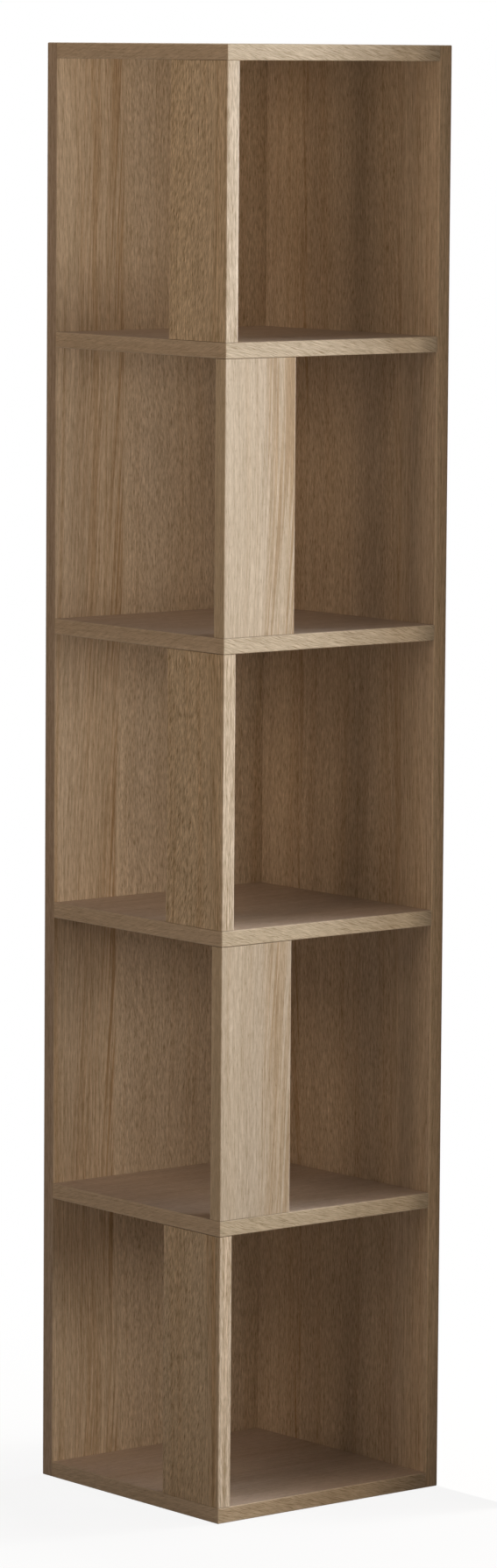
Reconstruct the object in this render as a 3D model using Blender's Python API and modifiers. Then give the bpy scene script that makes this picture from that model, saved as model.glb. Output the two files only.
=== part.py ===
"""Corner shelf in laminated board: two tall panels, square shelves and short uprights that change sides."""

from math import pi, radians

import bmesh
import bpy
from mathutils import Matrix, Vector

# Boards, in metres
BOARD = 0.018  # thickness of every board
CLEAR_SIDE = 0.310  # from an open face of a shelf to the panel behind it
BAY_HEIGHT = 0.312  # clear height between two shelves
BAYS = 5  # bays from the floor to the top
UPRIGHT_WIDTH = 0.102  # width of the short board at the open front corner
EDGE_RADIUS = 0.0012  # rounded arris of a banded edge
EDGE_SEGMENTS = 3
JOINT_GAP = 0.0003  # clearance between two boards, or between a fastener and its hole

# Countersunk screws with a hexagon socket, driven through the tall panels from the wall side
SCREW_LENGTH = 0.050
SCREW_HEAD_DIAMETER = 0.010
SCREW_RIM = 0.0012  # straight rim of the head
SCREW_CONE = 0.0024  # height of the countersunk cone
SCREW_NECK_DIAMETER = 0.007
SCREW_NECK = 0.0095  # plain neck under the cone
SCREW_STEP = 0.001  # taper between neck and core
SCREW_CORE_DIAMETER = 0.005
SCREW_SINK = 0.0005  # head below the face of the panel
SOCKET_WIDTH = 0.004  # across flats
SOCKET_DEPTH = 0.003
SCREW_SIDES = 10
DRILL_SPARE = 0.002  # drilled past the end of the screw
SCREW_FRONT_INSET = 0.060  # from the open edge of a shelf
SCREW_CROSSING = 0.028  # from the end of the screw that comes in round the corner
CORNER_SCREW_BAYS = (0, 2, 4)  # bays at whose middle the two panels are screwed together

# Wooden dowels that hold each upright between two shelves
DOWEL_DIAMETER = 0.008
DOWEL_IN_UPRIGHT = 0.019  # length inside the upright
DOWEL_FLOOR = 0.007  # board left beyond a dowel hole in a shelf
DOWEL_CHAMFER = 0.001
DOWEL_INSET = 0.026  # from each long edge of the upright
DOWEL_SIDES = 10

# Places that follow from the sizes above, with the origin under the middle of the shelf
PITCH = BAY_HEIGHT + BOARD
HEIGHT = BAYS * PITCH + BOARD
SIDE = CLEAR_SIDE + BOARD
HIGH = SIDE / 2
LOW = -SIDE / 2
INNER = HIGH - BOARD
DOWEL_IN_SHELF = BOARD - DOWEL_FLOOR
SCREW_REACH = SCREW_LENGTH + SCREW_SINK - BOARD

# Turns that lay a fastener's upright axis along the direction its head points to
HEAD_TO_BACK = Matrix.Rotation(radians(-90), 4, "X")
HEAD_TO_SIDE = Matrix.Rotation(radians(90), 4, "Y")
UPRIGHT_ABOVE = Matrix.Identity(4)
UPRIGHT_BELOW = Matrix.Rotation(pi, 4, "X")

# Faces of a board that butt against another board, whose arrises stay sharp
SHELF_BUTTS = (Vector((1, 0, 0)), Vector((0, 1, 0)))
SIDE_PANEL_BUTTS = (Vector((0, 1, 0)),)
UPRIGHT_BUTTS = (Vector((0, 0, 1)), Vector((0, 0, -1)))

# Finishes
OAK = ((0.60, 0.49, 0.35), 0.45, 0.0)
ZINC = ((0.62, 0.62, 0.64), 0.35, 1.0)
BEECH = ((0.66, 0.49, 0.31), 0.70, 0.0)


def clear_scene():
    """Removes every object of the scene."""
    for obj in list(bpy.data.objects):
        bpy.data.objects.remove(obj, do_unlink=True)


def add_collection(name, parent):
    """Adds a collection under another one."""
    collection = bpy.data.collections.new(name)
    parent.children.link(collection)
    return collection


def add_material(name, finish):
    """Makes a plain surface from a colour, a roughness and a metallic value."""
    colour, roughness, metallic = finish
    material = bpy.data.materials.new(name)
    material.use_nodes = True
    surface = material.node_tree.nodes["Principled BSDF"]
    surface.inputs["Base Color"].default_value = (*colour, 1.0)
    surface.inputs["Roughness"].default_value = roughness
    surface.inputs["Metallic"].default_value = metallic
    return material


def add_object(name, mesh, collection, parent=None):
    """Adds an object for a mesh and hangs it on its parent."""
    obj = bpy.data.objects.new(name, mesh)
    collection.objects.link(obj)
    obj.parent = parent
    return obj


def finished_mesh(obj, name):
    """Turns an object with its modifiers into a mesh of its own and removes the object."""
    bpy.context.view_layer.update()
    graph = bpy.context.evaluated_depsgraph_get()
    mesh = bpy.data.meshes.new_from_object(obj.evaluated_get(graph))
    mesh.name = name
    bpy.data.objects.remove(obj, do_unlink=True)
    return mesh


def turned_object(name, profile, sides, collection):
    """Turns a profile of (radius, height) points, listed from top to bottom, about the Z axis."""
    mesh = bpy.data.meshes.new(name)
    points = [(radius, 0.0, height) for radius, height in profile]
    edges = [(index, index + 1) for index in range(len(points) - 1)]
    mesh.from_pydata(points, edges, [])
    obj = add_object(name, mesh, collection)
    turn = obj.modifiers.new("turn", "SCREW")
    turn.axis = "Z"
    turn.angle = 2 * pi
    turn.steps = sides
    turn.render_steps = sides
    turn.use_merge_vertices = True
    turn.merge_threshold = 0.00001
    return obj


def smooth_rounds(mesh):
    """Shades the turned faces smooth and keeps their rims sharp."""
    mesh.shade_smooth()
    mesh.set_sharp_from_angle(angle=radians(40))


def screw_profile(clearance, top, spare):
    """Gives the outline of a screw, or of its stepped hole when there is clearance round it."""
    head = SCREW_HEAD_DIAMETER / 2 + clearance
    neck = SCREW_NECK_DIAMETER / 2 + clearance
    core = SCREW_CORE_DIAMETER / 2 + clearance
    cone_end = SCREW_RIM + SCREW_CONE
    neck_end = cone_end + SCREW_NECK + clearance
    tip = SCREW_LENGTH + spare
    return [
        (0.0, top),
        (head, top),
        (head, -SCREW_RIM),
        (neck, -cone_end),
        (neck, -neck_end),
        (core, -neck_end - SCREW_STEP),
        (core, -tip),
        (0.0, -tip),
    ]


def socket_cutter(collection):
    """Makes the hexagon that is sunk into a screw's head."""
    mesh = bpy.data.meshes.new("socket_cutter")
    form = bmesh.new()
    radius = SOCKET_WIDTH / 3 ** 0.5
    depth = 2 * SOCKET_DEPTH
    bmesh.ops.create_cone(form, cap_ends=True, segments=6, radius1=radius, radius2=radius, depth=depth)
    form.to_mesh(mesh)
    form.free()
    return add_object("socket_cutter", mesh, collection)


def screw_mesh(collection):
    """Makes the screw, with its head's face at the origin and its shank pointing down."""
    screw = turned_object("screw", screw_profile(0.0, 0.0, 0.0), SCREW_SIDES, collection)
    socket = socket_cutter(collection)
    cut = screw.modifiers.new("socket", "BOOLEAN")
    cut.operation = "DIFFERENCE"
    cut.solver = "EXACT"
    cut.object = socket
    mesh = finished_mesh(screw, "screw")
    bpy.data.objects.remove(socket, do_unlink=True)
    smooth_rounds(mesh)
    return mesh


def screw_hole_mesh(collection):
    """Makes the stepped drill form that clears a screw and its countersunk head."""
    profile = screw_profile(JOINT_GAP, SCREW_SINK + SCREW_RIM, DRILL_SPARE)
    return finished_mesh(turned_object("screw_hole", profile, SCREW_SIDES, collection), "screw_hole")


def dowel_mesh(collection):
    """Makes the dowel, with the face of the shelf at the origin and the upright above it."""
    radius = DOWEL_DIAMETER / 2
    profile = [
        (0.0, DOWEL_IN_UPRIGHT),
        (radius - DOWEL_CHAMFER, DOWEL_IN_UPRIGHT),
        (radius, DOWEL_IN_UPRIGHT - DOWEL_CHAMFER),
        (radius, DOWEL_CHAMFER - DOWEL_IN_SHELF),
        (radius - DOWEL_CHAMFER, -DOWEL_IN_SHELF),
        (0.0, -DOWEL_IN_SHELF),
    ]
    mesh = finished_mesh(turned_object("dowel", profile, DOWEL_SIDES, collection), "dowel")
    smooth_rounds(mesh)
    return mesh


def dowel_hole_mesh(collection):
    """Makes the drill form that clears a dowel in its shelf and in its upright."""
    radius = DOWEL_DIAMETER / 2 + JOINT_GAP
    top = DOWEL_IN_UPRIGHT + JOINT_GAP
    bottom = -DOWEL_IN_SHELF - JOINT_GAP
    profile = [(0.0, top), (radius, top), (radius, bottom), (0.0, bottom)]
    return finished_mesh(turned_object("dowel_hole", profile, DOWEL_SIDES, collection), "dowel_hole")


def mark_arrises(mesh, butts):
    """Marks the edges to be rounded: all but those of a face that butts against another board."""
    form = bmesh.new()
    form.from_mesh(mesh)
    weight = form.edges.layers.float.new("bevel_weight_edge")
    for edge in form.edges:
        butted = any(face.normal.dot(butt) > 0.5 for face in edge.link_faces for butt in butts)
        edge[weight] = 0.0 if butted else 1.0
    form.to_mesh(mesh)
    form.free()


def add_board(name, low, high, butts, collection, parent):
    """Adds a board with rounded arrises between two opposite corners."""
    low = Vector(low)
    high = Vector(high)
    bpy.ops.mesh.primitive_cube_add(size=1.0, location=(low + high) / 2)
    board = bpy.context.object
    board.name = name
    board.data.name = name
    board.scale = high - low
    bpy.ops.object.transform_apply(location=False, rotation=False, scale=True)
    for holder in list(board.users_collection):
        holder.objects.unlink(board)
    collection.objects.link(board)
    board.parent = parent
    mark_arrises(board.data, butts)
    rounding = board.modifiers.new("arrises", "BEVEL")
    rounding.width = EDGE_RADIUS
    rounding.segments = EDGE_SEGMENTS
    rounding.limit_method = "WEIGHT"
    return board


def shelf_name(level):
    """Names the shelf at a level, counted from the floor."""
    if level == 0:
        return "shelf_base"
    if level == BAYS:
        return "shelf_top"
    return f"shelf_{level}"


def upright_name(bay):
    """Names the upright of a bay, counted from the floor."""
    return f"upright_{bay + 1}"


def stands_in_side_face(bay):
    """Tells whether a bay's upright closes the left-hand open face, from the top bay and every second one."""
    return (BAYS - 1 - bay) % 2 == 0


def add_panels(collection, parent):
    """Adds the two tall panels that stand against the walls and meet at the back corner."""
    back_low = (LOW, INNER, 0.0)
    back_high = (HIGH, HIGH, HEIGHT)
    back = add_board("back_panel", back_low, back_high, (), collection, parent)
    side_low = (INNER, LOW, 0.0)
    side_high = (HIGH, INNER - JOINT_GAP, HEIGHT)
    side = add_board("side_panel", side_low, side_high, SIDE_PANEL_BUTTS, collection, parent)
    return [back, side]


def add_shelves(collection, parent):
    """Adds the square shelves, from the base to the top, between the panels."""
    end = INNER - JOINT_GAP
    shelves = []
    for level in range(BAYS + 1):
        low = (LOW, LOW, level * PITCH)
        high = (end, end, level * PITCH + BOARD)
        shelves.append(add_board(shelf_name(level), low, high, SHELF_BUTTS, collection, parent))
    return shelves


def add_uprights(collection, parent):
    """Adds the short uprights at the open front corner, turned to the other face in each next bay."""
    uprights = []
    for bay in range(BAYS):
        low = (LOW, LOW, bay * PITCH + BOARD + JOINT_GAP)
        top = (bay + 1) * PITCH - JOINT_GAP
        width = LOW + UPRIGHT_WIDTH
        thickness = LOW + BOARD
        if stands_in_side_face(bay):
            high = (thickness, width, top)
        else:
            high = (width, thickness, top)
        uprights.append(add_board(upright_name(bay), low, high, UPRIGHT_BUTTS, collection, parent))
    return uprights


def screw_places():
    """Lists each screw with its place, its turn and the two boards that it joins."""
    face = HIGH - SCREW_SINK
    along = {"front": LOW + SCREW_FRONT_INSET, "corner": INNER - SCREW_REACH - SCREW_CROSSING}
    places = []
    for level in range(BAYS + 1):
        middle = level * PITCH + BOARD / 2
        for end, at in along.items():
            back = Matrix.Translation((at, face, middle)) @ HEAD_TO_BACK
            side = Matrix.Translation((face, at, middle)) @ HEAD_TO_SIDE
            places.append((f"screw_back_{level}_{end}", back, ("back_panel", shelf_name(level))))
            places.append((f"screw_side_{level}_{end}", side, ("side_panel", shelf_name(level))))
    for bay in CORNER_SCREW_BAYS:
        middle = bay * PITCH + BOARD + BAY_HEIGHT / 2
        corner = Matrix.Translation((HIGH - BOARD / 2, face, middle)) @ HEAD_TO_BACK
        places.append((f"screw_corner_{bay + 1}", corner, ("back_panel", "side_panel")))
    return places


def dowel_places():
    """Lists each dowel with its place, its turn and the two boards that it joins."""
    middle = LOW + BOARD / 2
    along = {"outer": LOW + DOWEL_INSET, "inner": LOW + UPRIGHT_WIDTH - DOWEL_INSET}
    places = []
    for bay in range(BAYS):
        floor = bay * PITCH + BOARD
        ceiling = (bay + 1) * PITCH
        ends = {"low": (floor, UPRIGHT_ABOVE, bay), "high": (ceiling, UPRIGHT_BELOW, bay + 1)}
        for end, (height, turn, level) in ends.items():
            for row, at in along.items():
                x, y = (middle, at) if stands_in_side_face(bay) else (at, middle)
                place = Matrix.Translation((x, y, height)) @ turn
                places.append((f"dowel_{bay + 1}_{end}_{row}", place, (shelf_name(level), upright_name(bay))))
    return places


def add_fasteners(places, mesh, hole_mesh, collection, cutters, parent, holes):
    """Adds each fastener and its drill form, and notes which boards are drilled."""
    for name, place, boards in places:
        fastener = add_object(name, mesh, collection, parent)
        fastener.matrix_world = place
        drill = add_object(f"{name}_hole", hole_mesh, cutters)
        drill.matrix_world = place
        drill.hide_render = True
        drill.display_type = "WIRE"
        for board in boards:
            holes.setdefault(board, []).append(drill)


def drill_board(board, drills, cutters):
    """Cuts all of a board's holes with one difference."""
    group = add_collection(f"holes_{board.name}", cutters)
    for drill in drills:
        group.objects.link(drill)
    cut = board.modifiers.new("holes", "BOOLEAN")
    cut.operation = "DIFFERENCE"
    cut.solver = "EXACT"
    cut.operand_type = "COLLECTION"
    cut.collection = group


def main():
    """Builds the whole shelf."""
    clear_scene()
    root = bpy.context.scene.collection
    parts = add_collection("corner_shelf", root)
    cutters = add_collection("hole_cutters", root)
    origin = add_object("corner_shelf_origin", None, parts)

    oak = add_material("oak_laminate", OAK)
    zinc = add_material("zinc_steel", ZINC)
    beech = add_material("beech", BEECH)

    boards = add_panels(parts, origin) + add_shelves(parts, origin) + add_uprights(parts, origin)
    for board in boards:
        board.data.materials.append(oak)

    screw = screw_mesh(parts)
    screw.materials.append(zinc)
    dowel = dowel_mesh(parts)
    dowel.materials.append(beech)

    holes = {}
    add_fasteners(screw_places(), screw, screw_hole_mesh(cutters), parts, cutters, origin, holes)
    add_fasteners(dowel_places(), dowel, dowel_hole_mesh(cutters), parts, cutters, origin, holes)
    for board in boards:
        drill_board(board, holes[board.name], cutters)


main()
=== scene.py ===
"""Looks of the corner shelf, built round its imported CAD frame.

The boards keep their CAD shapes and get an oak laminate each. The screws and dowels are
surfaces worked out with numpy that stand for the plain CAD ones. The studio holds the floor,
the lamps and the camera.
"""

import logging
from dataclasses import dataclass
from enum import Enum
from math import cos, pi, radians, sin
from typing import Optional, Union

import bpy
import numpy as np
from mathutils import Matrix, Vector


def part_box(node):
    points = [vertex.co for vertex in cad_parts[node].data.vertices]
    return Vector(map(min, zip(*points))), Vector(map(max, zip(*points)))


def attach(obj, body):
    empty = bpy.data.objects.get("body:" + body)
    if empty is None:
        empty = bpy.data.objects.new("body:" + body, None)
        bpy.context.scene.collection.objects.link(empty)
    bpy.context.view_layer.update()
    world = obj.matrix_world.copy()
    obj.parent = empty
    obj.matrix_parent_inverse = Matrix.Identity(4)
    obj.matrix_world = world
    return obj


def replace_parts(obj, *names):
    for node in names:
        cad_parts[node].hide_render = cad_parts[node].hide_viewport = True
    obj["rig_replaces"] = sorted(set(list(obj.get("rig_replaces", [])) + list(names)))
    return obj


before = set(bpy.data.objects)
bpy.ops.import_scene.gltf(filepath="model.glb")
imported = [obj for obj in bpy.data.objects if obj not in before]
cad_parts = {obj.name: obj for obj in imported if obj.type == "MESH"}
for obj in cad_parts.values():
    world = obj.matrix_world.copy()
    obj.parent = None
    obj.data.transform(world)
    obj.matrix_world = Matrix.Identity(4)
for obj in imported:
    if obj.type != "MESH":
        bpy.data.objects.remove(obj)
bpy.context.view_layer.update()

LOG = logging.getLogger("corner_shelf")

Array = np.ndarray
Pair = tuple[float, float]
Triple = tuple[float, float, float]
Socket = bpy.types.NodeSocket
Given = Union[float, tuple, Socket]
Inputs = dict[Union[int, str], Given]

BODY = "root"
WHITE: Triple = (1.0, 1.0, 1.0)
SHARP_ANGLE = radians(38)  # between two faces, past which their edge is sharp


class Lay(Enum):
    """Axes that a board's thickness, width and grain run along, as 0 for X, 1 for Y and 2 for Z."""

    FACING_Y = (1, 0, 2)
    FACING_X = (0, 1, 2)
    FLAT = (2, 1, 0)


class Heading(Enum):
    """Turn that lays a fastener's own upward axis along X, Y or Z, row by row."""

    X = ((0, 0, 1), (1, 0, 0), (0, 1, 0))
    Y = ((0, 1, 0), (0, 0, 1), (1, 0, 0))
    Z = ((1, 0, 0), (0, 1, 0), (0, 0, 1))


# Node sheets and groups


@dataclass(frozen=True)
class Noise:
    """Soft noise: waves in a metre along three axes, a shift that keeps it apart, and octaves of detail.

    Over a board's grain the axes are across it, along it, and the board's own number. A mask that
    is made of the noise rises between its limits.
    """

    stretch: Triple
    shift: float
    detail: float = 2.0
    limits: Pair = (0.0, 1.0)


class NodeSheet:
    """A node tree with short calls that add nodes, set their values and wire them."""

    noise_roughness: float = 0.55

    def __init__(self, tree: bpy.types.NodeTree) -> None:
        """Holds the tree that the calls work on."""
        self.tree = tree

    def put(self, socket: Socket, value: Given) -> None:
        """Wires a socket to another one, or sets its own value.

        Args:
            socket: the input to fill.
            value: the socket to wire it to, or its own value.
        """
        if isinstance(value, bpy.types.NodeSocket):
            self.tree.links.new(value, socket)
        else:
            socket.default_value = value

    def add(self, kind: str, inputs: Optional[Inputs] = None, **settings: object) -> bpy.types.Node:
        """Adds one node.

        Args:
            kind: the node's type without its common prefix.
            inputs: values or sockets by input name or number.
            **settings: the node's own properties.

        Returns:
            The node.
        """
        node = self.tree.nodes.new(f"ShaderNode{kind}")
        for name, value in settings.items():
            setattr(node, name, value)
        for key, value in (inputs or {}).items():
            self.put(node.inputs[key], value)
        return node

    def maths(self, operation: str, *values: Given, clamp: bool = False) -> Socket:
        """Gives the outcome of one operation on one to three values."""
        return self.add("Math", dict(enumerate(values)), operation=operation, use_clamp=clamp).outputs[0]

    def times(self, first: Given, second: Given) -> Socket:
        """Multiplies two values."""
        return self.maths("MULTIPLY", first, second)

    def minus(self, first: Given, second: Given) -> Socket:
        """Takes the second value from the first."""
        return self.maths("SUBTRACT", first, second)

    def scaled(self, value: Given, factor: Given, onto: Given) -> Socket:
        """Multiplies a value by a factor and adds the outcome onto another value."""
        return self.maths("MULTIPLY_ADD", value, factor, onto)

    def vector(self, operation: str, *values: Given) -> Socket:
        """Gives the outcome of one operation on one to three vectors."""
        return self.add("VectorMath", dict(enumerate(values)), operation=operation).outputs[0]

    def split(self, vector: Socket) -> list[Socket]:
        """Gives a vector's three parts."""
        return list(self.add("SeparateXYZ", {0: vector}).outputs)

    def join(self, x: Given, y: Given, z: Given) -> Socket:
        """Gives the vector of three parts."""
        return self.add("CombineXYZ", {0: x, 1: y, 2: z}).outputs[0]

    def ramp(self, share: Socket, start: float, end: float) -> Socket:
        """Goes straight from start, at a share of 0, to end, at a share of 1."""
        return self.scaled(share, end - start, start)

    def remap(self, value: Socket, low: float, high: float, start: float = 0.0, end: float = 1.0) -> Socket:
        """Eases a value from start, at low and below, to end, at high and above."""
        inputs = {"Value": value, "From Min": low, "From Max": high, "To Min": start, "To Max": end}
        return self.add("MapRange", inputs, interpolation_type="SMOOTHSTEP").outputs[0]

    def blend(self, share: Given, first: Given, second: Given) -> Socket:
        """Blends from the first colour, at a share of 0, to the second, at a share of 1."""
        return self.add("Mix", {0: share, 6: first, 7: second}, data_type="RGBA").outputs[2]

    def noise(self, vector: Socket, noise: Noise) -> Socket:
        """Gives a noise's value, from 0 to 1, over a vector.

        Args:
            vector: a place, or the distances over a board's grain with its number.
            noise: the noise's stretch, shift and detail.

        Returns:
            The value.
        """
        place = self.vector("MULTIPLY_ADD", vector, noise.stretch, (0.0, 0.0, noise.shift))
        inputs = {"Vector": place, "Scale": 1.0, "Detail": noise.detail, "Roughness": self.noise_roughness}
        return self.add("TexNoise", inputs).outputs[0]

    def swing(self, vector: Socket, noise: Noise) -> Socket:
        """Gives a noise's value, moved to lie between -0.5 and 0.5."""
        return self.minus(self.noise(vector, noise), 0.5)

    def mask(self, vector: Socket, noise: Noise, start: float = 0.0) -> Socket:
        """Gives a mask that rises from start to 1 between a noise's limits."""
        return self.remap(self.noise(vector, noise), *noise.limits, start)


class NodeGroup(NodeSheet):
    """A shader node group with named inputs and outputs, built once and placed in each material."""

    def __init__(self, name: str, inputs: dict[str, str], outputs: dict[str, str]) -> None:
        """Makes the empty group.

        Args:
            name: the group's name.
            inputs: the kind of each input by name, as Float, Vector or Color.
            outputs: the kind of each output by name.
        """
        super().__init__(bpy.data.node_groups.new(name, "ShaderNodeTree"))
        for direction, sockets in (("INPUT", inputs), ("OUTPUT", outputs)):
            for socket, kind in sockets.items():
                self.tree.interface.new_socket(socket, in_out=direction, socket_type=f"NodeSocket{kind}")
        self.given = self.tree.nodes.new("NodeGroupInput").outputs
        self.result = self.tree.nodes.new("NodeGroupOutput").inputs

    def place(self, sheet: NodeSheet, inputs: Inputs) -> bpy.types.bpy_prop_collection:
        """Places the group in a material's tree and gives its outputs there."""
        return sheet.add("Group", inputs, node_tree=self.tree).outputs


class GrainPlane(NodeGroup):
    """Flattens a board's three pairs of faces to distances across and along their own grain.

    A board's place and facing come as thickness, width and grain length. On the two wide faces
    the grain runs along the length, across the width. On the long edges the band's grain runs
    along the length, and on the end edges along the width, across the thickness.
    """

    edge_facing: float = 0.69  # part of a normal past which a face counts as an edge
    end_shift: float = 2.6  # metres that keep the grain of the end edges apart from the rest

    def __init__(self) -> None:
        """Builds the group."""
        super().__init__(
            "grain_plane",
            {"Place": "Vector", "Facing": "Vector"},
            {"Across": "Float", "Along": "Float", "Band": "Float", "End": "Float"},
        )
        thickness, width, length = self.split(self.given["Place"])
        _, on_long, on_end = self.split(self.vector("ABSOLUTE", self.given["Facing"]))
        end = self.maths("GREATER_THAN", on_end, self.edge_facing)
        band = self.maths("MAXIMUM", end, self.maths("GREATER_THAN", on_long, self.edge_facing))
        end_along = self.maths("ADD", width, self.end_shift)
        self.put(self.result["Across"], self.between(band, width, thickness))
        self.put(self.result["Along"], self.between(end, length, end_along))
        self.put(self.result["Band"], band)
        self.put(self.result["End"], end)

    def between(self, share: Socket, first: Socket, second: Socket) -> Socket:
        """Goes from the first value, at a share of 0, to the second, at a share of 1."""
        return self.scaled(share, self.minus(second, first), first)


class OakGrain(NodeGroup):
    """Oak figure: drifting bands, lines, fibres, pore dashes, flecks in their zone, streaks and two veins.

    Each layer is noise that is stretched along the grain. The distance across the grain is first
    let wander, so that the lines flow together. Flecks are wiggled and slanted besides, and lie
    between two distances across the board. A vein swells over its width and ends sharply at its place.
    """

    # Noise of each layer
    wander: Noise = Noise((5.0, 2.2, 1.0), 3.1, 1.0)
    bands: Noise = Noise((38.0, 1.2, 1.0), 7.3, 3.0)
    lines: Noise = Noise((560.0, 8.0, 1.0), 11.9)
    wiggle: Noise = Noise((150.0, 60.0, 1.0), 19.1, 1.0)
    flecks: Noise = Noise((900.0, 125.0, 1.0), 23.3, 2.5, (0.55, 0.72))
    greys: Noise = Noise((16.0, 0.8, 1.0), 29.9, 1.0, (0.40, 0.64))
    streaks: Noise = Noise((75.0, 0.9, 1.0), 37.1, 2.0, (0.50, 0.68))
    fibres: Noise = Noise((760.0, 75.0, 1.0), 61.7)
    dashes: Noise = Noise((1500.0, 150.0, 1.0), 67.9, 1.0, (0.60, 0.72))
    vein_fades: dict[str, Noise] = {
        "Vein 1": Noise((2.0, 1.6, 1.0), 43.7, 1.0, (0.32, 0.58)),
        "Vein 2": Noise((2.0, 1.6, 1.0), 51.3, 1.0, (0.32, 0.58)),
    }
    vein_lines: dict[str, Noise] = {
        "Vein 1": Noise((340.0, 3.0, 1.0), 46.3, 1.0, (0.44, 0.58)),
        "Vein 2": Noise((340.0, 3.0, 1.0), 53.9, 1.0, (0.44, 0.58)),
    }

    # Ways that lines take, in metres, or in metres across for each metre along
    wander_depth: float = 0.028
    wiggle_depth: float = 0.0034
    zone_rim: Pair = (0.010, 0.012)  # soft rim of the fleck zone, outside and inside its limits
    vein_lean: float = -0.06
    vein_end: float = 0.16  # share of its width over which a vein ends

    # Strength of each layer
    band_gain: float = 1.6
    grey_share: float = 0.50
    pore_share: float = 0.18
    line_depth: float = 0.7
    fibre_depth: float = 0.75
    fleck_depth: float = 0.98
    dash_depth: float = 0.20
    vein_low: float = 0.45  # where a vein fades
    vein_gap: float = 0.10  # between a vein's lines
    channel_depths: Triple = (0.94, 1.06, 1.32)  # light and dark in red, green and blue

    # Shares of that strength, or of a fleck's fineness, elsewhere
    pores_outside: float = 0.15  # outside the fleck zone
    streaks_on_bands: float = 0.3
    streaks_in_zone: float = 0.5
    lines_in_zone: float = 0.6
    flecks_on_ends: float = 0.5
    band_across: float = 1.6  # flecks on the bands are finer
    band_along: float = 0.5  # and longer

    def __init__(self) -> None:
        """Builds the group."""
        super().__init__(
            "oak_grain",
            dict.fromkeys(("Across", "Along", "Band", "End"), "Float")
            | dict.fromkeys(("Number", "Contrast", "Warmth", "Slant", "Band Flecks"), "Float")
            | dict.fromkeys(("Flecks", "Vein 1", "Vein 2", "Tint", "Band Tint", "End Tint"), "Vector")
            | dict.fromkeys(("Light", "Dark", "Grey", "Ochre", "Brown", "Pore"), "Color"),
            {"Colour": "Color", "Pores": "Float", "Lines": "Float"},
        )
        given = self.given
        straight = self.join(given["Across"], given["Along"], given["Number"])
        stray = self.swing(straight, self.wander)
        self.across = self.scaled(stray, self.wander_depth, given["Across"])
        self.flow = self.join(self.across, given["Along"], given["Number"])
        self.face = self.minus(1.0, given["Band"])

        zone, strokes = self.fleck_zone(), self.fleck_strokes()
        lines = self.noise(self.flow, self.lines)
        pores = self.remap(strokes, *self.flecks.limits)
        pores = self.times(pores, self.ramp(zone, self.pores_outside, 1.0))
        shade = self.vector("MULTIPLY", self.shading(zone, strokes, lines), self.tint())
        colour = self.vector("MULTIPLY", self.colouring(zone, pores), shade)
        self.put(self.result["Colour"], colour)
        self.put(self.result["Pores"], pores)
        self.put(self.result["Lines"], lines)

    def fleck_zone(self) -> Socket:
        """Gives how strong the flecks are: their own strength between two distances, the band's on edges.

        Returns:
            The strength, halved on the end edges.
        """
        low, high, strength = self.split(self.given["Flecks"])
        outside, inside = self.zone_rim
        rise = self.remap(self.minus(self.across, low), -outside, inside)
        fall = self.remap(self.minus(self.across, high), -inside, outside, 1.0, 0.0)
        on_face = self.times(self.times(rise, fall), self.times(strength, self.face))
        edge = self.scaled(self.given["End"], self.flecks_on_ends - 1.0, self.given["Band"])
        return self.scaled(edge, self.given["Band Flecks"], on_face)

    def fleck_strokes(self) -> Socket:
        """Gives noise in short strokes that wiggle and lean with the slant, finer and longer on the bands.

        Returns:
            The noise's value.
        """
        along, band = self.given["Along"], self.given["Band"]
        wiggle = self.swing(self.flow, self.wiggle)
        across = self.scaled(wiggle, self.wiggle_depth, self.across)
        across = self.scaled(along, self.given["Slant"], across)
        across = self.times(across, self.ramp(band, 1.0, self.band_across))
        along = self.times(along, self.ramp(band, 1.0, self.band_along))
        return self.noise(self.join(across, along, self.given["Number"]), self.flecks)

    def vein(self, name: str) -> Socket:
        """Gives one vein's strength over the board.

        Args:
            name: the input that holds the vein's place, width and strength.

        Returns:
            The strength, in thin leaning lines that come and go along the grain.
        """
        place, width, strength = self.split(self.given[name])
        along = self.given["Along"]
        way = self.maths("DIVIDE", self.minus(self.across, place), width)
        end = self.remap(way, 0.0, self.vein_end, 1.0, 0.0)
        body = self.times(self.remap(way, -1.0, 0.0), end)
        fade = self.mask(self.flow, self.vein_fades[name], self.vein_low)
        leaning = self.scaled(along, self.vein_lean, self.across)
        leaning = self.join(leaning, along, self.given["Number"])
        lines = self.mask(leaning, self.vein_lines[name], self.vein_gap)
        body = self.times(self.times(body, lines), strength)
        return self.times(body, self.times(fade, self.face))

    def colouring(self, zone: Socket, pores: Socket) -> Socket:
        """Lays grey drifts, ochre streaks, brown veins and pores over the light and dark bands.

        Args:
            zone: how strong the flecks are.
            pores: how strong the pores are.

        Returns:
            The colour.
        """
        given = self.given
        bands = self.swing(self.flow, self.bands)
        tone = self.maths("MULTIPLY_ADD", bands, self.band_gain, 0.5, clamp=True)
        grey = self.mask(self.flow, self.greys)
        streak = self.mask(self.flow, self.streaks)
        warm = self.times(given["Warmth"], self.ramp(self.face, self.streaks_on_bands, 1.0))
        warm = self.times(warm, self.ramp(zone, 1.0, self.streaks_in_zone))
        colour = self.blend(tone, given["Dark"], given["Light"])
        colour = self.blend(self.times(grey, self.grey_share), colour, given["Grey"])
        colour = self.blend(self.times(streak, warm), colour, given["Ochre"])
        for name in self.vein_fades:
            colour = self.blend(self.vein(name), colour, given["Brown"])
        return self.blend(self.times(pores, self.pore_share), colour, given["Pore"])

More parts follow.
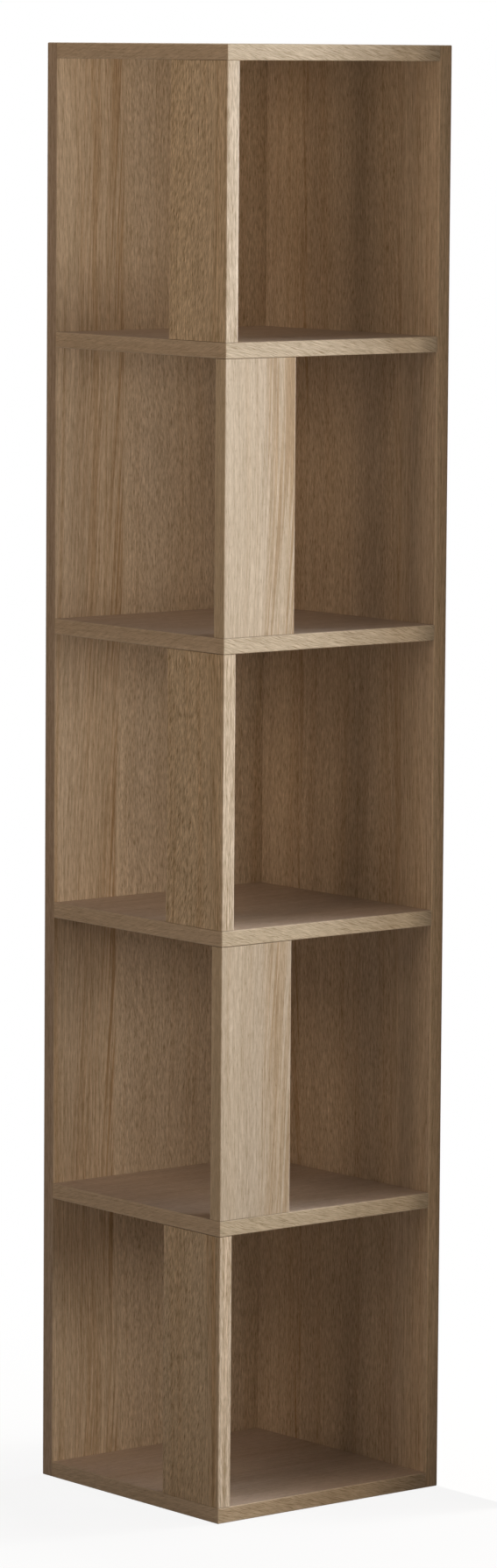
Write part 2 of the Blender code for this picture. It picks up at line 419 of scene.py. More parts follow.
    def shading(self, zone: Socket, strokes: Socket, lines: Socket) -> Socket:
        """Lightens and darkens along lines, fibres, flecks and pore dashes, most of all in blue.

        Args:
            zone: how strong the flecks are.
            strokes: the flecks' noise.
            lines: the straight lines' noise.

        Returns:
            The factor of each colour channel.
        """
        fibres = self.times(self.swing(self.flow, self.fibres), self.fibre_depth)
        straight = self.scaled(self.minus(lines, 0.5), self.line_depth, fibres)
        straight = self.times(straight, self.ramp(zone, 1.0, self.lines_in_zone))
        short = self.times(self.minus(0.5, strokes), self.times(zone, self.fleck_depth))
        depth = self.times(self.maths("ADD", straight, short), self.given["Contrast"])
        dashes = self.mask(self.flow, self.dashes)
        depth = self.scaled(dashes, -self.dash_depth, depth)
        return self.join(*(self.scaled(depth, share, 1.0) for share in self.channel_depths))

    def tint(self) -> Socket:
        """Gives the tint of the wide faces, the long edges or the end edges."""
        tint = self.towards(self.given["Band"], self.given["Tint"], self.given["Band Tint"])
        return self.towards(self.given["End"], tint, self.given["End Tint"])

    def towards(self, share: Socket, first: Socket, second: Socket) -> Socket:
        """Goes from the first vector, at a share of 0, to the second, at a share of 1."""
        way = self.vector("SUBTRACT", second, first)
        return self.vector("MULTIPLY_ADD", self.join(share, share, share), way, first)


class ArrisWearAndHighlight(NodeGroup):
    """Masks for a board's rubbed arrises, which are also lightened as a painted highlight, and for the line
    where its edge band meets the face.

    The distances to the nearest of the two planes of each axis are taken, and the middle one of
    the three is the way from a point on the board to its nearest arris.
    """

    patches: Noise = Noise((60.0, 60.0, 60.0), 2.3, 2.0, (0.32, 0.68))
    patch_low: float = 0.45
    wear_width: float = 0.0021  # metres
    seam_inset: float = 0.0019  # metres from the arris
    seam_rim: Pair = (0.00005, 0.0003)  # metres from the seam, over which it fades

    def __init__(self) -> None:
        """Builds the group."""
        super().__init__(
            "arris_wear_and_highlight",
            {"Place": "Vector", "Low": "Vector", "High": "Vector", "Band": "Float"},
            {"Wear And Highlight": "Float", "Seam": "Float"},
        )
        given = self.given
        up = self.vector("SUBTRACT", given["Place"], given["Low"])
        down = self.vector("SUBTRACT", given["High"], given["Place"])
        x, y, z = self.split(self.vector("MINIMUM", up, down))
        inner = self.maths("MINIMUM", self.maths("MAXIMUM", x, y), z)
        away = self.maths("MAXIMUM", self.maths("MINIMUM", x, y), inner)
        patchy = self.mask(given["Place"], self.patches, self.patch_low)
        near = self.remap(away, 0.0, self.wear_width, 1.0, 0.0)
        # patchy band near each arris: rubbed wear and a painted highlight
        self.put(self.result["Wear And Highlight"], self.times(near, patchy))
        line = self.maths("ABSOLUTE", self.minus(away, self.seam_inset))
        line = self.remap(line, *self.seam_rim, 1.0, 0.0)
        face = self.minus(1.0, given["Band"])
        self.put(self.result["Seam"], self.times(line, face))


# Finishes


def opaque(colour: Triple) -> tuple[float, float, float, float]:
    """Gives a colour with full opacity."""
    return (*colour, 1.0)


class MaterialSheet(NodeSheet):
    """The node tree of a new material, with its Principled BSDF as the surface."""

    def __init__(self, name: str) -> None:
        """Makes the material.

        Args:
            name: the finish's name.
        """
        self.material = bpy.data.materials.new(name)
        self.material.use_nodes = True
        super().__init__(self.material.node_tree)
        self.surface = self.tree.nodes["Principled BSDF"]

    def bump(self, height: Socket, strength: float, depth: float) -> Socket:
        """Gives the normal of a height of 0 to 1 that stands for a depth in metres."""
        return self.add("Bump", {"Strength": strength, "Distance": depth, "Height": height}).outputs["Normal"]

    def complete(self, inputs: Inputs) -> bpy.types.Material:
        """Fills the surface's inputs.

        Args:
            inputs: values or sockets by input name.

        Returns:
            The material.
        """
        for name, value in inputs.items():
            self.put(self.surface.inputs[name], value)
        return self.material


@dataclass(frozen=True)
class Figure:
    """How one board's grain differs from the next one's.

    Flecks are the two distances across the board that they lie between, and their strength. A
    vein is the place across the board where it ends sharply, the width that it swells over,
    below 0 where it swells from the other side, and its strength.
    """

    number: float
    contrast: float = 1.35
    warmth: float = 0.62
    slant: float = 0.0
    flecks: Triple = (-1.0, 1.0, 0.3)
    band_flecks: float = 0.3
    vein_1: Triple = (0.0, 0.01, 0.0)
    vein_2: Triple = (0.0, 0.01, 0.0)
    # tints of the wide faces, long edges and end edges; on several boards they also hold painted light or
    # shade
    tint: Triple = WHITE
    band_tint: Triple = WHITE
    end_tint: Triple = WHITE

    def inputs(self) -> Inputs:
        """Gives the values by the names of the oak grain's inputs, which are those of the fields."""
        return {name.replace("_", " ").title(): value for name, value in vars(self).items()}


class OakLaminate:
    """Matt oak laminate with pressed pores, in light sand tones."""

    light: Triple = (0.655, 0.560, 0.440)
    dark: Triple = (0.530, 0.430, 0.315)
    grey: Triple = (0.585, 0.500, 0.400)
    ochre: Triple = (0.480, 0.352, 0.220)
    brown: Triple = (0.410, 0.285, 0.165)
    pore: Triple = (0.330, 0.240, 0.158)
    # lighter colour on the arrises: partly real wear, partly a painted highlight
    worn: Triple = (0.690, 0.610, 0.505)
    wear_share: float = 0.35
    seam_share: float = 0.30
    roughness: float = 0.44
    rougher_lines: float = 0.14
    rougher_pores: float = 0.16
    smoother_wear: float = 0.08
    line_relief: float = 0.35  # as a share of the pores' depth
    seam_relief: float = 0.6
    bump_strength: float = 0.35
    pore_depth: float = 0.0003  # metres
    gloss: float = 0.22

    def __init__(self) -> None:
        """Builds the groups that every board's laminate shares."""
        self.plane = GrainPlane()
        self.grain = OakGrain()
        self.arris = ArrisWearAndHighlight()

    def colours(self) -> Inputs:
        """Gives the colours by the names of the oak grain's inputs."""
        return {
            "Light": opaque(self.light), "Dark": opaque(self.dark), "Grey": opaque(self.grey),
            "Ochre": opaque(self.ochre), "Brown": opaque(self.brown), "Pore": opaque(self.pore),
        }

    def material(self, name: str, lay: Lay, low: Triple, high: Triple, figure: Figure) -> bpy.types.Material:
        """Makes one board's laminate.

        Args:
            name: the board's name.
            lay: the way that the board lies.
            low: the board's lowest corner, moved out where an end is hidden.
            high: the board's highest corner, moved out likewise.
            figure: the board's own grain.

        Returns:
            The material.
        """
        sheet = MaterialSheet(f"oak_{name}")
        where = sheet.add("TexCoord")
        place, facing = where.outputs["Object"], where.outputs["Normal"]
        places, facings = sheet.split(place), sheet.split(facing)
        plane = self.plane.place(sheet, {
            "Place": sheet.join(*(places[axis] for axis in lay.value)),
            "Facing": sheet.join(*(facings[axis] for axis in lay.value)),
        })
        laid = {key: plane[key] for key in ("Across", "Along", "Band", "End")}
        grain = self.grain.place(sheet, laid | figure.inputs() | self.colours())
        arris = self.arris.place(sheet, {"Place": place, "Low": low, "High": high, "Band": plane["Band"]})
        wear_highlight, seam = arris["Wear And Highlight"], arris["Seam"]
        pores, lines = grain["Pores"], grain["Lines"]

        # arrises lightened: partly wear, partly a painted highlight
        colour = sheet.blend(sheet.times(wear_highlight, self.wear_share), grain["Colour"], opaque(self.worn))
        colour = sheet.blend(sheet.times(seam, self.seam_share), colour, opaque(self.pore))
        rough = sheet.scaled(lines, self.rougher_lines, self.roughness)
        rough = sheet.scaled(pores, self.rougher_pores, rough)
        rough = sheet.scaled(wear_highlight, -self.smoother_wear, rough)
        relief = sheet.scaled(pores, -1.0, sheet.times(lines, self.line_relief))
        relief = sheet.scaled(seam, -self.seam_relief, relief)
        return sheet.complete({
            "Base Color": colour,
            "Roughness": rough,
            "Specular IOR Level": self.gloss,
            "Normal": sheet.bump(relief, self.bump_strength, self.pore_depth),
        })


@dataclass(frozen=True)
class ZincSteel:
    """Bright zinc on steel, slightly clouded."""

    bright: Triple = (0.560, 0.560, 0.575)
    dull: Triple = (0.390, 0.385, 0.380)
    clouds: Noise = Noise((420.0, 420.0, 420.0), 1.7, 3.0)
    crystals: Noise = Noise((2600.0, 2600.0, 2600.0), 5.1)
    rough_dull: float = 0.44
    rough_bright: float = 0.28
    bump_strength: float = 0.2
    crystal_depth: float = 0.0001  # metres

    def material(self) -> bpy.types.Material:
        """Makes the finish of the screws.

        Returns:
            The material.
        """
        sheet = MaterialSheet("zinc_steel")
        place = sheet.add("TexCoord").outputs["Object"]
        cloud, crystals = sheet.noise(place, self.clouds), sheet.noise(place, self.crystals)
        return sheet.complete({
            "Base Color": sheet.blend(cloud, opaque(self.dull), opaque(self.bright)),
            "Metallic": 1.0,
            "Roughness": sheet.ramp(cloud, self.rough_dull, self.rough_bright),
            "Normal": sheet.bump(crystals, self.bump_strength, self.crystal_depth),
        })


@dataclass(frozen=True)
class Beech:
    """Plain beech with short flecks along the dowel."""

    light: Triple = (0.700, 0.540, 0.360)
    dark: Triple = (0.560, 0.400, 0.245)
    fleck: Triple = (0.400, 0.260, 0.150)
    grain: Noise = Noise((900.0, 900.0, 60.0), 2.9, 3.0)
    flecks: Noise = Noise((2200.0, 2200.0, 420.0), 8.3, 1.0, (0.58, 0.70))
    fleck_share: float = 0.6
    rough_dark: float = 0.60
    rough_light: float = 0.75
    bump_strength: float = 0.3
    grain_depth: float = 0.0002  # metres

    def material(self) -> bpy.types.Material:
        """Makes the finish of the dowels.

        Returns:
            The material.
        """
        sheet = MaterialSheet("beech")
        place = sheet.add("TexCoord").outputs["Object"]
        grain, flecks = sheet.noise(place, self.grain), sheet.mask(place, self.flecks)
        colour = sheet.blend(grain, opaque(self.dark), opaque(self.light))
        colour = sheet.blend(sheet.times(flecks, self.fleck_share), colour, opaque(self.fleck))
        return sheet.complete({
            "Base Color": colour,
            "Roughness": sheet.ramp(grain, self.rough_dark, self.rough_light),
            "Normal": sheet.bump(grain, self.bump_strength, self.grain_depth),
        })


# Boards


@dataclass
class Boards:
    """Boards of one kind, which keep their CAD shape and get their own laminate.

    The hidden distances move a board's corners out, so that no wear or painted highlight shows
    where another board covers its arris.
    """

    lay: Lay
    figures: dict[str, Figure]
    hidden_low: Triple = (0.0, 0.0, 0.0)
    hidden_high: Triple = (0.0, 0.0, 0.0)

    def dress(self, laminate: OakLaminate) -> list[bpy.types.Object]:
        """Puts each board's laminate in its material slots.

        Args:
            laminate: the finish that all boards share.

        Returns:
            The dressed boards.
        """
        dressed = []
        for name, figure in self.figures.items():
            low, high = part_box(name)
            low, high = low - Vector(self.hidden_low), high + Vector(self.hidden_high)
            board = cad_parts[name]
            material = laminate.material(name, self.lay, tuple(low), tuple(high), figure)
            for slot in board.material_slots:
                slot.material = material
            dressed.append(board)
        return dressed


SHELF_NAMES = ("shelf_base", "shelf_1", "shelf_2", "shelf_3", "shelf_4", "shelf_top")

# Tints of the shelves' long edges, from the base to the top; the lowest ones are darker still as painted
# shade towards the floor
SHELF_BAND_TINTS_AND_SHADE: tuple[Triple, ...] = (
    (0.90, 0.845, 0.74), (0.86, 0.86, 0.80), (0.93, 0.94, 0.89),
    (0.94, 0.955, 0.92), (0.94, 0.955, 0.92), (0.91, 0.925, 0.90),
)

# Tints of the faces and of the long edges of the uprights in the left open face, by bay from the floor; the
# long edges are lighter lower down as painted light
LEFT_TINTS_AND_PAINTED_LIGHT: dict[int, tuple[Triple, Triple]] = {
    1: ((1.02, 1.00, 0.92), (1.19, 1.21, 1.22)),
    3: ((1.10, 1.08, 0.99), (1.05, 1.07, 1.08)),
    5: ((1.10, 1.08, 0.99), (1.00, 1.02, 1.03)),
}

# Bays whose upright stands in the right open face
FRONT_BAYS = (2, 4)

BACK_FIGURE = Figure(
    1.0, flecks=(-0.068, 1.0, 1.0), vein_1=(-0.0725, 0.034, 1.0), vein_2=(-0.106, 0.060, 0.60),
    # painted shade: the back panel's edge bands are darker, as its front edge in the left open face shows
    tint=(1.06, 1.05, 1.02), band_tint=(0.74, 0.71, 0.70),
)

SIDE_FIGURE = Figure(
    14.0, flecks=(-0.098, 1.0, 1.0), vein_1=(0.070, -0.018, 1.0), vein_2=(-0.098, -0.042, 0.45),
    # the side panel's edge bands are warmer, and lighter as painted light against the right card's shade on
    # its front edge
    tint=(0.96, 0.955, 0.96), band_tint=(1.12, 1.04, 0.90),
)


def shelf_figure(level: int) -> Figure:
    """Gives the grain of the shelf at a level, counted from the base, with painted shade darkening the faces
    of all but the top one and the long edges towards the floor.
    """
    on_top = level == len(SHELF_NAMES) - 1
    return Figure(
        31.0 + 5.0 * level, contrast=0.9, warmth=0.35, slant=0.28, flecks=(-1.0, 1.0, 0.6), band_flecks=1.7,
        # painted shade: the faces of every shelf but the top one are darker, as in the shade of the next
        # shelf up
        tint=(0.98, 0.97, 0.95) if on_top else (0.84, 0.82, 0.89),
        # the long edges' tint holds painted shade, darker towards the floor
        band_tint=SHELF_BAND_TINTS_AND_SHADE[level], end_tint=(1.03, 1.025, 1.0),
    )


def upright_number(bay: int) -> float:
    """Gives the number that sets the grain of a bay's upright apart."""
    return 70.0 + 6.0 * bay


def left_figure(bay: int) -> Figure:
    """Gives the grain of an upright in the left open face, in the bay counted from the floor."""
    tint, band_tint = LEFT_TINTS_AND_PAINTED_LIGHT[bay]
    return Figure(
        upright_number(bay), contrast=2.1, warmth=0.9, slant=0.20, flecks=(-0.136, 1.0, 1.0),
        vein_1=(-0.143, 0.015, 0.60), vein_2=(-0.060, 0.2, 0.10), tint=tint, band_tint=band_tint,
    )


def front_figure(bay: int) -> Figure:
    """Gives the grain of an upright in the right open face, in the bay counted from the floor."""
    return Figure(
        upright_number(bay), contrast=1.05, warmth=0.34, flecks=(-1.0, 1.0, 0.10),
        vein_1=(-0.060, 0.070, 1.0), vein_2=(-0.086, 0.030, 0.85),
        tint=(0.98, 1.01, 1.035), band_tint=(1.045, 1.06, 1.02),
    )


def shelf_boards() -> list[Boards]:
    """Lists the shelf's boards by kind, with the grain that each one shows.

    Returns:
        The boards.
    """
    shelves = {name: shelf_figure(level) for level, name in enumerate(SHELF_NAMES)}
    left = {f"upright_{bay}": left_figure(bay) for bay in LEFT_TINTS_AND_PAINTED_LIGHT}
    front = {f"upright_{bay}": front_figure(bay) for bay in FRONT_BAYS}
    ends = (0.0, 0.0, 1.0)
    return [
        Boards(Lay.FACING_Y, {"back_panel": BACK_FIGURE}),
        Boards(Lay.FACING_X, {"side_panel": SIDE_FIGURE}, hidden_high=(0.0, 1.0, 0.0)),
        Boards(Lay.FLAT, shelves, hidden_high=(1.0, 1.0, 0.0)),
        Boards(Lay.FACING_X, left, hidden_low=ends, hidden_high=ends),
        Boards(Lay.FACING_Y, front, hidden_low=ends, hidden_high=ends),
    ]


# Surfaces


def turned_surface(radius: Array, height: Array) -> tuple[Array, Array]:
    """Wraps a grid of radii round an axis and closes both ends.

    Point (i, j) lies radius[i, j] from the axis, j steps of a full turn round it, at height[i].
    Each quad between two rows is cut in two triangles, and the first and the last row are
    closed by a fan to a pole on the axis.

    Args:
        radius: rows along the profile by columns round the axis.
        height: one height for each row.

    Returns:
        The points and the triangles.
    """
    rows, around = radius.shape
    turn = np.linspace(0.0, 2.0 * pi, around, endpoint=False)
    tall = np.broadcast_to(height[:, None], radius.shape)
    grid = np.stack((radius * np.cos(turn), radius * np.sin(turn), tall), axis=-1).reshape(-1, 3)
    poles = np.array(((0.0, 0.0, height[0]), (0.0, 0.0, height[-1])))
    index = np.arange(rows * around).reshape(rows, around)
    after = np.roll(index, -1, axis=1)
    a, b, c, d = index[:-1].ravel(), index[1:].ravel(), after[1:].ravel(), after[:-1].ravel()
    top, tip = np.full(around, rows * around), np.full(around, rows * around + 1)
    triangles = np.concatenate((
        np.stack((a, b, c), axis=1),
        np.stack((a, c, d), axis=1),
        np.stack((top, index[0], after[0]), axis=1),
        np.stack((index[-1], tip, after[-1]), axis=1),
    ))
    return np.concatenate((grid, poles)), triangles


def level_square(side: float, cells: int, level: float) -> tuple[Array, Array]:
    """Spreads points evenly over a level square round the origin and cuts each cell in two triangles.

    Args:
        side: the square's side.
        cells: the cells along one side.
        level: the square's height.

    Returns:
        The points and the triangles.
    """
    span = np.linspace(-side / 2.0, side / 2.0, cells + 1)
    x, y = np.meshgrid(span, span)
    points = np.stack((x, y, np.full_like(x, level)), axis=-1).reshape(-1, 3)
    index = np.arange(x.size).reshape(x.shape)
    a, b = index[:-1, :-1].ravel(), index[:-1, 1:].ravel()
    c, d = index[1:, 1:].ravel(), index[1:, :-1].ravel()
    return points, np.concatenate((np.stack((a, b, c), axis=1), np.stack((a, c, d), axis=1)))


def add_piece(name: str, points: Array, triangles: Array, material: bpy.types.Material) -> bpy.types.Object:
    """Puts points and triangles in a mesh of their own, at the origin.

    Args:
        name: the piece's name.
        points: the points in metres, in the CAD frame.
        triangles: the triangles by point number.
        material: the finish.

    Returns:
        The piece.
    """
    mesh = bpy.data.meshes.new(name)
    mesh.from_pydata(points.tolist(), [], triangles.tolist())
    mesh.materials.append(material)
    mesh.shade_smooth()
    mesh.set_sharp_from_angle(angle=SHARP_ANGLE)
    piece = bpy.data.objects.new(name, mesh)
    bpy.context.scene.collection.objects.link(piece)
    return piece


# Fasteners


@dataclass
class Fasteners:
    """Fasteners of one kind, each set where its plain CAD node is."""

    prefix: str
    slot: str

    def surface(self) -> tuple[Array, Array]:
        """Gives one fastener's points and triangles, with its top at the origin and the rest below."""
        raise NotImplementedError

    def heading(self, node: str) -> Heading:
        """Gives the axis that a node's top points along."""
        raise NotImplementedError

    def build(self, material: bpy.types.Material) -> list[bpy.types.Object]:
        """Sets one fastener in the place of each CAD node of its kind.

        Args:
            material: the finish.

        Returns:
            The pieces.
        """
        points, triangles = self.surface()
        pieces = []
        for node in sorted(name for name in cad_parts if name.startswith(self.prefix)):
            low, high = (np.array(corner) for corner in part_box(node))
            turn = np.array(self.heading(node).value, float)
            axis = turn @ np.array((0.0, 0.0, 1.0))
            top = (low + high) / 2.0 + axis * ((high - low) @ axis) / 2.0
            piece = add_piece(f"turned_{node}", points @ turn.T + top, triangles, material)
            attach(piece, BODY)
            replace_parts(piece, node)
            pieces.append(piece)
        return pieces


@dataclass
class BoardScrews(Fasteners):
    """Countersunk board screws with a hexagon socket and a coarse thread, in metres."""

    prefix: str = "screw_"
    slot: str = "screw"
    length: float = 0.050
    head: float = 0.010
    rim: float = 0.0012
    cone: float = 0.0024
    neck: float = 0.007
    neck_length: float = 0.0095
    step: float = 0.001
    core: float = 0.0046
    thread: float = 0.0064
    pitch: float = 0.003
    ridge: float = 0.3  # half a ridge's width, as a share of the pitch
    socket: float = 0.004
    socket_depth: float = 0.003
    socket_floor: float = 0.5  # ring of points on the socket's floor, as a share of its width
    lip: float = 0.0003
    tip: float = 0.002
    tip_radii: Pair = (0.42, 0.16)  # shares of the core at the tip's shoulder and at its end
    tip_shoulder: float = 0.25  # share of the tip's length below its shoulder
    around: int = 24
    rows_in_turn: int = 7

    def surface(self) -> tuple[Array, Array]:
        """Gives one screw as radius over profile height and turn.

        The socket's radius is half its width over the cosine of the angle to the nearest flat.
        The thread's radius is the core's plus a ridge that is a peak of the share of a turn by
        which height over pitch and angle over a full turn add up. The ridge runs out at both ends.

        Returns:
            The points and the triangles.
        """
        turn = np.linspace(0.0, 2.0 * pi, self.around, endpoint=False)
        flat = (turn + pi / 6.0) % (pi / 3.0) - pi / 6.0
        socket = self.socket / 2.0 / np.cos(flat)
        whole = np.ones_like(turn)
        cone_end = self.rim + self.cone
        neck_end = cone_end + self.neck_length
        start, end = neck_end + self.step, self.length - self.tip
        profile = [
            (socket * self.socket_floor, -self.socket_depth),
            (socket, -self.socket_depth),
            (socket, -self.lip),
            (socket + self.lip, 0.0),
            (whole * (self.head / 2.0 - self.lip), 0.0),
            (whole * self.head / 2.0, -self.lip),
            (whole * self.head / 2.0, -self.rim),
            (whole * self.neck / 2.0, -cone_end),
            (whole * self.neck / 2.0, -neck_end),
        ]
        down = np.linspace(start, end, int((end - start) / self.pitch * self.rows_in_turn))
        share = (down[:, None] / self.pitch + turn[None, :] / (2.0 * pi)) % 1.0
        ridge = np.clip(1.0 - np.abs(share - 0.5) / self.ridge, 0.0, 1.0)
        ease = np.clip(np.minimum(down - start, end - down) / self.pitch, 0.0, 1.0)[:, None]
        wound = self.core / 2.0 + (self.thread - self.core) / 2.0 * ridge * ease
        tip = np.array(self.tip_radii)[:, None] * self.core * whole
        shoulder = self.length - self.tip * self.tip_shoulder
        radius = np.concatenate((np.array([row for row, _ in profile]), wound, tip))
        height = np.concatenate(([at for _, at in profile], -down, (-shoulder, -self.length)))
        return turned_surface(radius, height)

    def heading(self, node: str) -> Heading:
        """Gives the wall that a screw's head faces."""
        return Heading.X if node.startswith("screw_side") else Heading.Y


@dataclass
class FlutedDowels(Fasteners):
    """Fluted dowels with chamfered ends, in metres."""

    prefix: str = "dowel_"
    slot: str = "dowel"
    length: float = 0.030
    diameter: float = 0.008
    chamfer: float = 0.001
    chamfer_off: Triple = (1.0, 0.35, 0.0)  # shares of the chamfer taken off the radius, from the end
    chamfer_at: Triple = (0.0, 0.3, 1.0)  # shares of the chamfer's length, from the end
    flutes: int = 16
    flute_depth: float = 0.0004
    steps_in_flute: int = 5

    def surface(self) -> tuple[Array, Array]:
        """Gives one dowel as radius over height and turn.

        The radius is the dowel's less the flute's depth, times the square of half of one plus the
        cosine of the turn times the number of flutes. At both ends a chamfer is taken off.

        Returns:
            The points and the triangles.
        """
        turn = np.linspace(0.0, 2.0 * pi, self.flutes * self.steps_in_flute, endpoint=False)
        flute = ((1.0 + np.cos(self.flutes * turn)) / 2.0) ** 2
        fluted = self.diameter / 2.0 - self.flute_depth * flute
        off = np.array(self.chamfer_off) * self.chamfer
        down = np.array(self.chamfer_at) * self.chamfer
        off = np.concatenate((off, off[::-1]))
        height = -np.concatenate((down, self.length - down[::-1]))
        return turned_surface(fluted[None, :] - off[:, None], height)

    def heading(self, node: str) -> Heading:
        """Gives the upright axis that every dowel has."""
        return Heading.Z


# Studio


SOFT_LIGHT: Triple = (1.0, 0.847, 0.701)
WARM_LIGHT: Triple = (1.0, 0.735, 0.515)


@dataclass(frozen=True)
class Lamp:
    """A soft rectangular lamp, in metres, watts and degrees.

    It stands at a distance from the shelf's middle, on a bearing from the front towards the
    right, and points level at the middle unless it has an aim of its own.
    """

    name: str
    bearing: float
    level: float
    height: float
    power: float
    colour: Triple = WHITE
    width: float = 0.5
    away: float = 2.4
    aim: Optional[Triple] = None

    def build(self) -> None:
        """Hangs the lamp."""
        light = bpy.data.lights.new(self.name, "AREA")
        light.shape = "RECTANGLE"
        light.size, light.size_y = self.width, self.height
        light.energy, light.color = self.power, self.colour
        bearing = radians(self.bearing)
        place = Vector((self.away * sin(bearing), -self.away * cos(bearing), self.level))
        ahead = Vector(self.aim or (0.0, 0.0, self.level)) - place
        turn = ahead.to_track_quat("-Z", "Y").to_matrix().to_4x4()
        lamp = bpy.data.objects.new(self.name, light)
        lamp.matrix_world = Matrix.Translation(place) @ turn
        lamp.visible_camera = False
        bpy.context.scene.collection.objects.link(lamp)


@dataclass(frozen=True)
class ShadeCard:
    """An upright card, unseen itself, that keeps side light off as the wall of a room does.

    A card that lets a share of the light through is a scrim, which dims a face that is too bright.
    """

    name: str
    start: Pair
    end: Pair
    height: float = 1.70
    colour: Triple = (0.25, 0.20, 0.15)
    lets_through: float = 0.0

    def build(self) -> None:
        """Stands the card on the floor, from its start to its end."""
        points = np.array([(*at, tall) for tall in (0.0, self.height) for at in (self.start, self.end)])
        material = MaterialSheet(self.name).complete({
            "Base Color": opaque(self.colour),
            "Specular IOR Level": 0.0,
            "Alpha": 1.0 - self.lets_through,
        })
        card = add_piece(self.name, points, np.array(((0, 1, 3), (0, 3, 2))), material)
        card.visible_camera = card.visible_glossy = False


@dataclass(frozen=True)
class PhotoCamera:
    """Camera at the photograph's angle, in metres and degrees, with its focal length in pixels."""

    place: Triple = (-4.7144114, -5.8086346, 1.677167)
    yaw: float = 39.1029
    pitch: float = 6.546
    roll: float = -0.4054
    focal: float = 7440.8426
    tall: float = 1789.0
    sensor: float = 36.0
    clip_end: float = 100.0

    def build(self) -> None:
        """Sets up the camera and makes it the scene's own."""
        yaw, pitch, roll = radians(self.yaw), radians(self.pitch), radians(self.roll)
        ahead = Vector((sin(yaw) * cos(pitch), cos(yaw) * cos(pitch), -sin(pitch)))
        right = Vector((cos(yaw), -sin(yaw), 0.0))
        down = ahead.cross(right)
        right, down = cos(roll) * right + sin(roll) * down, cos(roll) * down - sin(roll) * right
        data = bpy.data.cameras.new("photo_camera")
        data.sensor_width = self.sensor
        data.lens = self.sensor * self.focal / self.tall
        data.clip_end = self.clip_end
        camera = bpy.data.objects.new("photo_camera", data)
        turn = Matrix((right, -down, -ahead)).transposed().to_4x4()
        camera.matrix_world = Matrix.Translation(self.place) @ turn
        bpy.context.scene.collection.objects.link(camera)
        bpy.context.scene.camera = camera


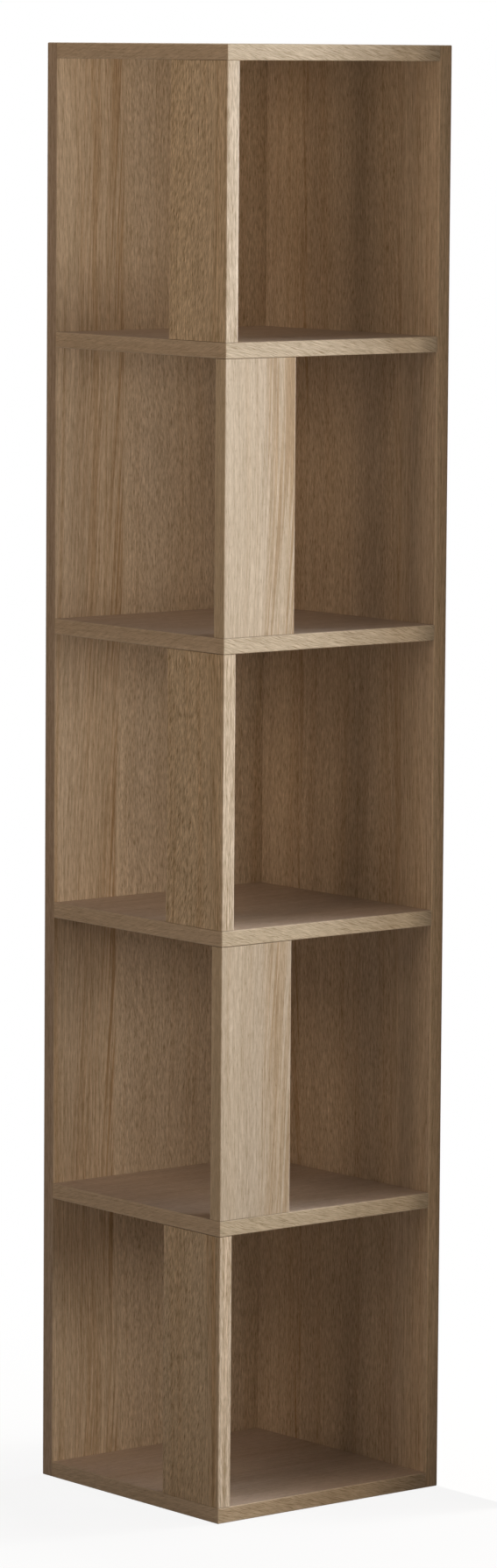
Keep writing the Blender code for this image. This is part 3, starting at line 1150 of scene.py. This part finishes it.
@dataclass
class Studio:
    """Pale floor, white surround, shade cards, soft lamps and the camera."""

    floor_side: float = 16.0
    floor_cells: int = 4
    floor_level: float = -0.0005
    floor_roughness: float = 0.8
    floor_colour: Triple = (0.82, 0.81, 0.79)
    bounce_colour: Triple = (0.230, 0.195, 0.165)
    shadow_share: float = 0.10
    shadow_reach: Pair = (0.3, 1.3)  # from the middle, over which the floor's shading fades to white
    cards: tuple[ShadeCard, ...] = (
        ShadeCard("right_card", (0.1655, -0.1625), (0.1655, -0.229)),
        ShadeCard("low_card", (0.1655, -0.229), (0.1655, -0.30), height=0.18),
        ShadeCard("left_card", (-0.166, 0.166), (-0.266, 0.166)),
        ShadeCard("side_scrim", (0.168, -0.166), (0.168, 0.200), lets_through=0.45),
    )
    lamps: tuple[Lamp, ...] = (
        Lamp("key", 68.0, 1.75, 1.0, 51.0),
        Lamp("key_low", 68.0, 1.2, 1.0, 14.0),
        Lamp("rake", 78.0, 1.75, 1.0, 25.4),
        Lamp("front_right", 55.0, 1.75, 1.0, 21.2),
        Lamp("front_half", 35.0, 1.2, 1.0, 11.2, SOFT_LIGHT),
        Lamp("front_near", 22.0, 1.2, 1.0, 7.0, SOFT_LIGHT),
        Lamp("front", 7.0, 1.2, 1.0, 4.6, SOFT_LIGHT, width=0.3),
        Lamp("left", -79.0, 1.75, 1.0, 4.4, WARM_LIGHT, width=0.3),
        Lamp("left_low", -79.0, 0.5, 0.8, 1.4, WARM_LIGHT, width=0.3),
        Lamp("left_front", -66.0, 1.75, 1.0, 4.4, WARM_LIGHT, width=0.3),
        Lamp("left_front_low", -66.0, 0.5, 0.8, 1.4, WARM_LIGHT, width=0.3),
        Lamp("above", -78.7, 3.0, 1.0, 5.2, WARM_LIGHT, width=1.0, away=1.53, aim=(-0.2, 0.0, 0.9)),
        Lamp("rear", 163.0, 1.4, 1.8, 40.0, width=0.9),
        Lamp("top", 135.0, 3.0, 0.30, 9.0, width=0.30, away=0.15, aim=(0.106, 0.106, 1.668)),
    )

    def seen(self, sheet: NodeSheet) -> Socket:
        """Finds the rays that show the surround itself, from the camera, a gloss or glass.

        Args:
            sheet: the sheet of the floor or of the world.

        Returns:
            1 for such a ray and 0 for others.
        """
        path = sheet.add("LightPath").outputs
        bounced = sheet.maths("MAXIMUM", path["Is Glossy Ray"], path["Is Transmission Ray"])
        return sheet.maths("MAXIMUM", path["Is Camera Ray"], bounced)

    def build_surround(self) -> None:
        """Makes the world white where it is seen and dark elsewhere, where the lamps do the work."""
        world = bpy.data.worlds.new("surround")
        world.use_nodes = True
        bpy.context.scene.world = world
        sheet = NodeSheet(world.node_tree)
        fill = world.node_tree.nodes["Background"]
        fill.inputs["Color"].default_value = opaque((0.0, 0.0, 0.0))
        white = sheet.add("Background", {"Color": opaque(WHITE), "Strength": 1.0})
        mixed = sheet.add("MixShader", {0: self.seen(sheet), 1: fill.outputs[0], 2: white.outputs[0]})
        sheet.put(world.node_tree.nodes["World Output"].inputs["Surface"], mixed.outputs[0])

    def floor_material(self) -> bpy.types.Material:
        """Makes the floor white where it is seen, but for a share of its own shading near the shelf.

        Returns:
            The material.
        """
        sheet = MaterialSheet("pale_floor")
        place = sheet.add("TexCoord").outputs["Object"]
        away = sheet.add("VectorMath", {0: place}, operation="LENGTH").outputs["Value"]
        shading = sheet.remap(away, *self.shadow_reach, self.shadow_share, 0.0)
        seen = self.seen(sheet)
        glow = sheet.add("Emission", {"Color": opaque(WHITE), "Strength": 1.0})
        share = sheet.times(seen, sheet.minus(1.0, shading))
        mixed = sheet.add("MixShader", {0: share, 1: sheet.surface.outputs[0], 2: glow.outputs[0]})
        sheet.put(sheet.tree.nodes["Material Output"].inputs["Surface"], mixed.outputs[0])
        return sheet.complete({
            "Base Color": sheet.blend(seen, opaque(self.bounce_colour), opaque(self.floor_colour)),
            "Roughness": self.floor_roughness,
            "Specular IOR Level": 0.0,
        })

    def build_floor(self) -> None:
        """Lays the floor just under the shelf."""
        points, triangles = level_square(self.floor_side, self.floor_cells, self.floor_level)
        floor = add_piece("pale_floor", points, triangles, self.floor_material())

    def build(self) -> None:
        """Sets up the whole studio."""
        PhotoCamera().build()
        self.build_surround()
        self.build_floor()
        for thing in (*self.cards, *self.lamps):
            thing.build()
        bpy.context.scene.view_settings.view_transform = "Standard"


def main() -> None:
    """Dresses the boards, sets the fasteners and builds the studio."""
    logging.basicConfig(level=logging.INFO, format="%(name)s: %(message)s")
    laminate = OakLaminate()
    for boards in shelf_boards():
        for board in boards.dress(laminate):
            LOG.info("%s keeps its CAD shape, in %s", board.name, board.material_slots[0].name)
    for fasteners, finish in ((BoardScrews(), ZincSteel()), (FlutedDowels(), Beech())):
        for piece in fasteners.build(finish.material()):
            LOG.info("%s stands for %s", piece.name, ", ".join(piece["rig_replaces"]))
    Studio().build()


if __name__ == "__main__":
    main()
